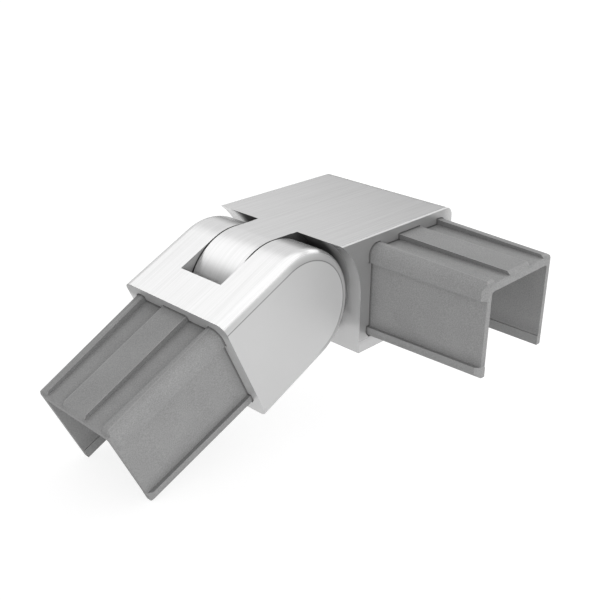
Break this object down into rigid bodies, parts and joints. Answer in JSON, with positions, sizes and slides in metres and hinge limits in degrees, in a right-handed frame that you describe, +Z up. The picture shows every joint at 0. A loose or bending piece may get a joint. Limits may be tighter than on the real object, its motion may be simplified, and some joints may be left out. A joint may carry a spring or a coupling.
{
  "type": "adjustable handrail joiner",
  "caption": "Right-angle corner joiner for a small slotted handrail, with a fork and tongue pivot that lets one rail slope, and a U-shaped sleeve for each rail.",
  "frame": {"origin": "centre of the rail section at the corner body's end face, where the level rail butts", "axes": "+X from the descending rail towards the corner, -Y out along the level rail, +Z up"},
  "size_m": [0.0731, 0.052, 0.0337],
  "materials": {
    "brushed_body": "brushed along each rail",
    "matte_sleeve": "blasted, fine grain",
    "screw_steel": "satin turned",
    "bush_bronze": "plain turned",
    "friction_washer": "dull"
  },
  "bodies": {
    "corner": {"corner_body": "brushed_body", "corner_sleeve": "matte_sleeve", "corner_sleeve_screws": "screw_steel", "pivot_bush": "bush_bronze"},
    "fork": {"fork_body": "brushed_body", "fork_sleeve": "matte_sleeve", "fork_sleeve_screws": "screw_steel", "pivot_screw": "screw_steel", "friction_washer_near": "friction_washer", "friction_washer_far": "friction_washer"}
  },
  "joints": [
    {"name": "slope_pivot", "type": "hinge", "parent": "corner", "child": "fork", "pos_m": [-0.0234, 0.0147, 0], "axis": [0, 1, 0], "range_deg": [-20, 70]}
  ]
}
